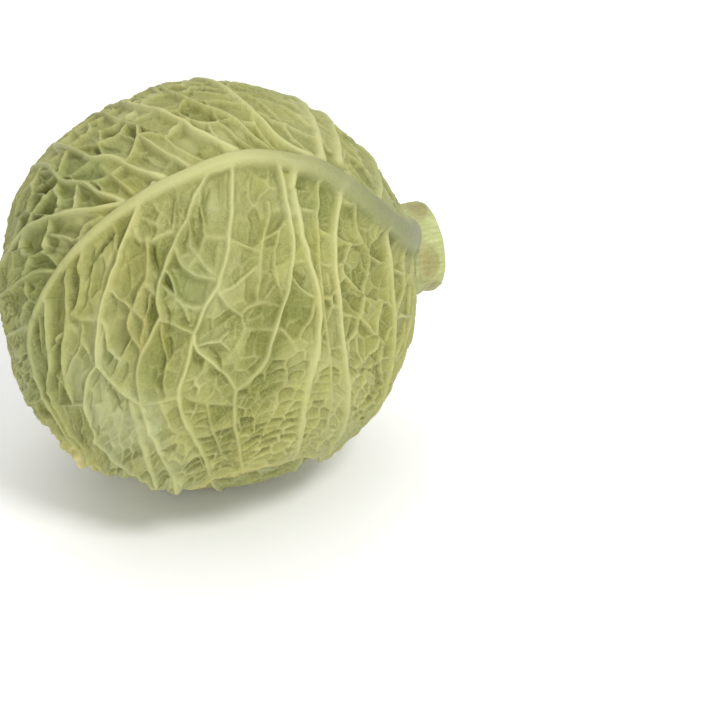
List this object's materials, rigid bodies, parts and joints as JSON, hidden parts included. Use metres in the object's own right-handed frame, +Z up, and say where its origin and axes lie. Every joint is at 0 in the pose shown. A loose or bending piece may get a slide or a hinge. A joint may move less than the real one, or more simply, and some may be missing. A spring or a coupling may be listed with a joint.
{
  "type": "savoy cabbage",
  "caption": "Whole savoy cabbage head with crinkled, strongly veined leaves wrapped round a cut stem core, lying on its side.",
  "frame": {"origin": "middle of the flat spot under the lowest wrapper leaf, on the surface that the head rests on", "axes": "+Z up from the resting surface; +X along the stem, from the crown towards the cut face; +Y completes the frame"},
  "size_m": [0.1939, 0.1731, 0.1715],
  "materials": {
    "wrapper_leaf": "waxy green leaf skin, finely crinkled, with pale ribs",
    "head_leaf": "soft yellow-green leaf skin, crinkled, satin",
    "heart_leaf": "pale yellow young leaf skin, moist satin",
    "stem_core": "pale fibrous stem, knife-cut face, dry matt",
    "heart_bud": "pale yellow tightly folded bud, moist satin"
  },
  "bodies": {
    "root": {"wrapper_leaf_01": "wrapper_leaf", "wrapper_leaf_02": "wrapper_leaf", "wrapper_leaf_03": "wrapper_leaf", "wrapper_leaf_04": "wrapper_leaf", "head_leaf_05": "head_leaf", "head_leaf_06": "head_leaf", "head_leaf_07": "head_leaf", "head_leaf_08": "head_leaf", "head_leaf_09": "head_leaf", "head_leaf_10": "head_leaf", "head_leaf_11": "head_leaf", "head_leaf_12": "head_leaf", "head_leaf_13": "heart_leaf", "head_leaf_14": "heart_leaf", "head_leaf_15": "heart_leaf", "head_leaf_16": "heart_leaf", "head_leaf_17": "heart_leaf", "head_leaf_18": "heart_leaf", "head_leaf_19": "heart_leaf", "head_leaf_20": "heart_leaf", "head_leaf_21": "heart_leaf", "head_leaf_22": "heart_leaf", "stem_core": "stem_core", "heart_bud": "heart_bud"}
  },
  "joints": []
}
